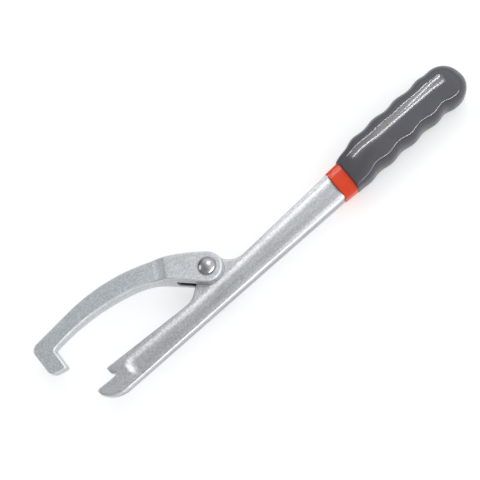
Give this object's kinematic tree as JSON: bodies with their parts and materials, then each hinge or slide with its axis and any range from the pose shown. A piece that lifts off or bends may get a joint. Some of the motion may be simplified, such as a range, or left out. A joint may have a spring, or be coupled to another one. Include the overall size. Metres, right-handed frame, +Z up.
{
  "type": "hydrant wrench",
  "caption": "Flat forged wrench with a hinged curved hook on a steel bar, a notched nose and a wavy moulded grip.",
  "frame": {"origin": "middle of the tool's footprint, on the surface it lies on", "axes": "+X along the bar towards the grip, +Y towards the hook side, +Z up along the hinge axis, the tool lying flat"},
  "size_m": [0.3942, 0.0845, 0.0302],
  "materials": {
    "forged_steel": "zinc plated forging, fine grain",
    "rivet_steel": "bright, smooth",
    "orange_plastic": "moulded, glossy",
    "grey_plastic": "moulded, glossy, soft touch"
  },
  "bodies": {
    "handle": {"handle_bar": "forged_steel", "inner_sleeve": "orange_plastic", "outer_grip": "grey_plastic"},
    "hook": {"hook_arm": "forged_steel", "pivot_rivet": "rivet_steel"}
  },
  "joints": [
    {"name": "hook_swing", "type": "hinge", "parent": "handle", "child": "hook", "pos_m": [-0.05145, -0.00916, 0.0152], "axis": [0, 0, 1], "range_deg": [-128, 20]}
  ]
}
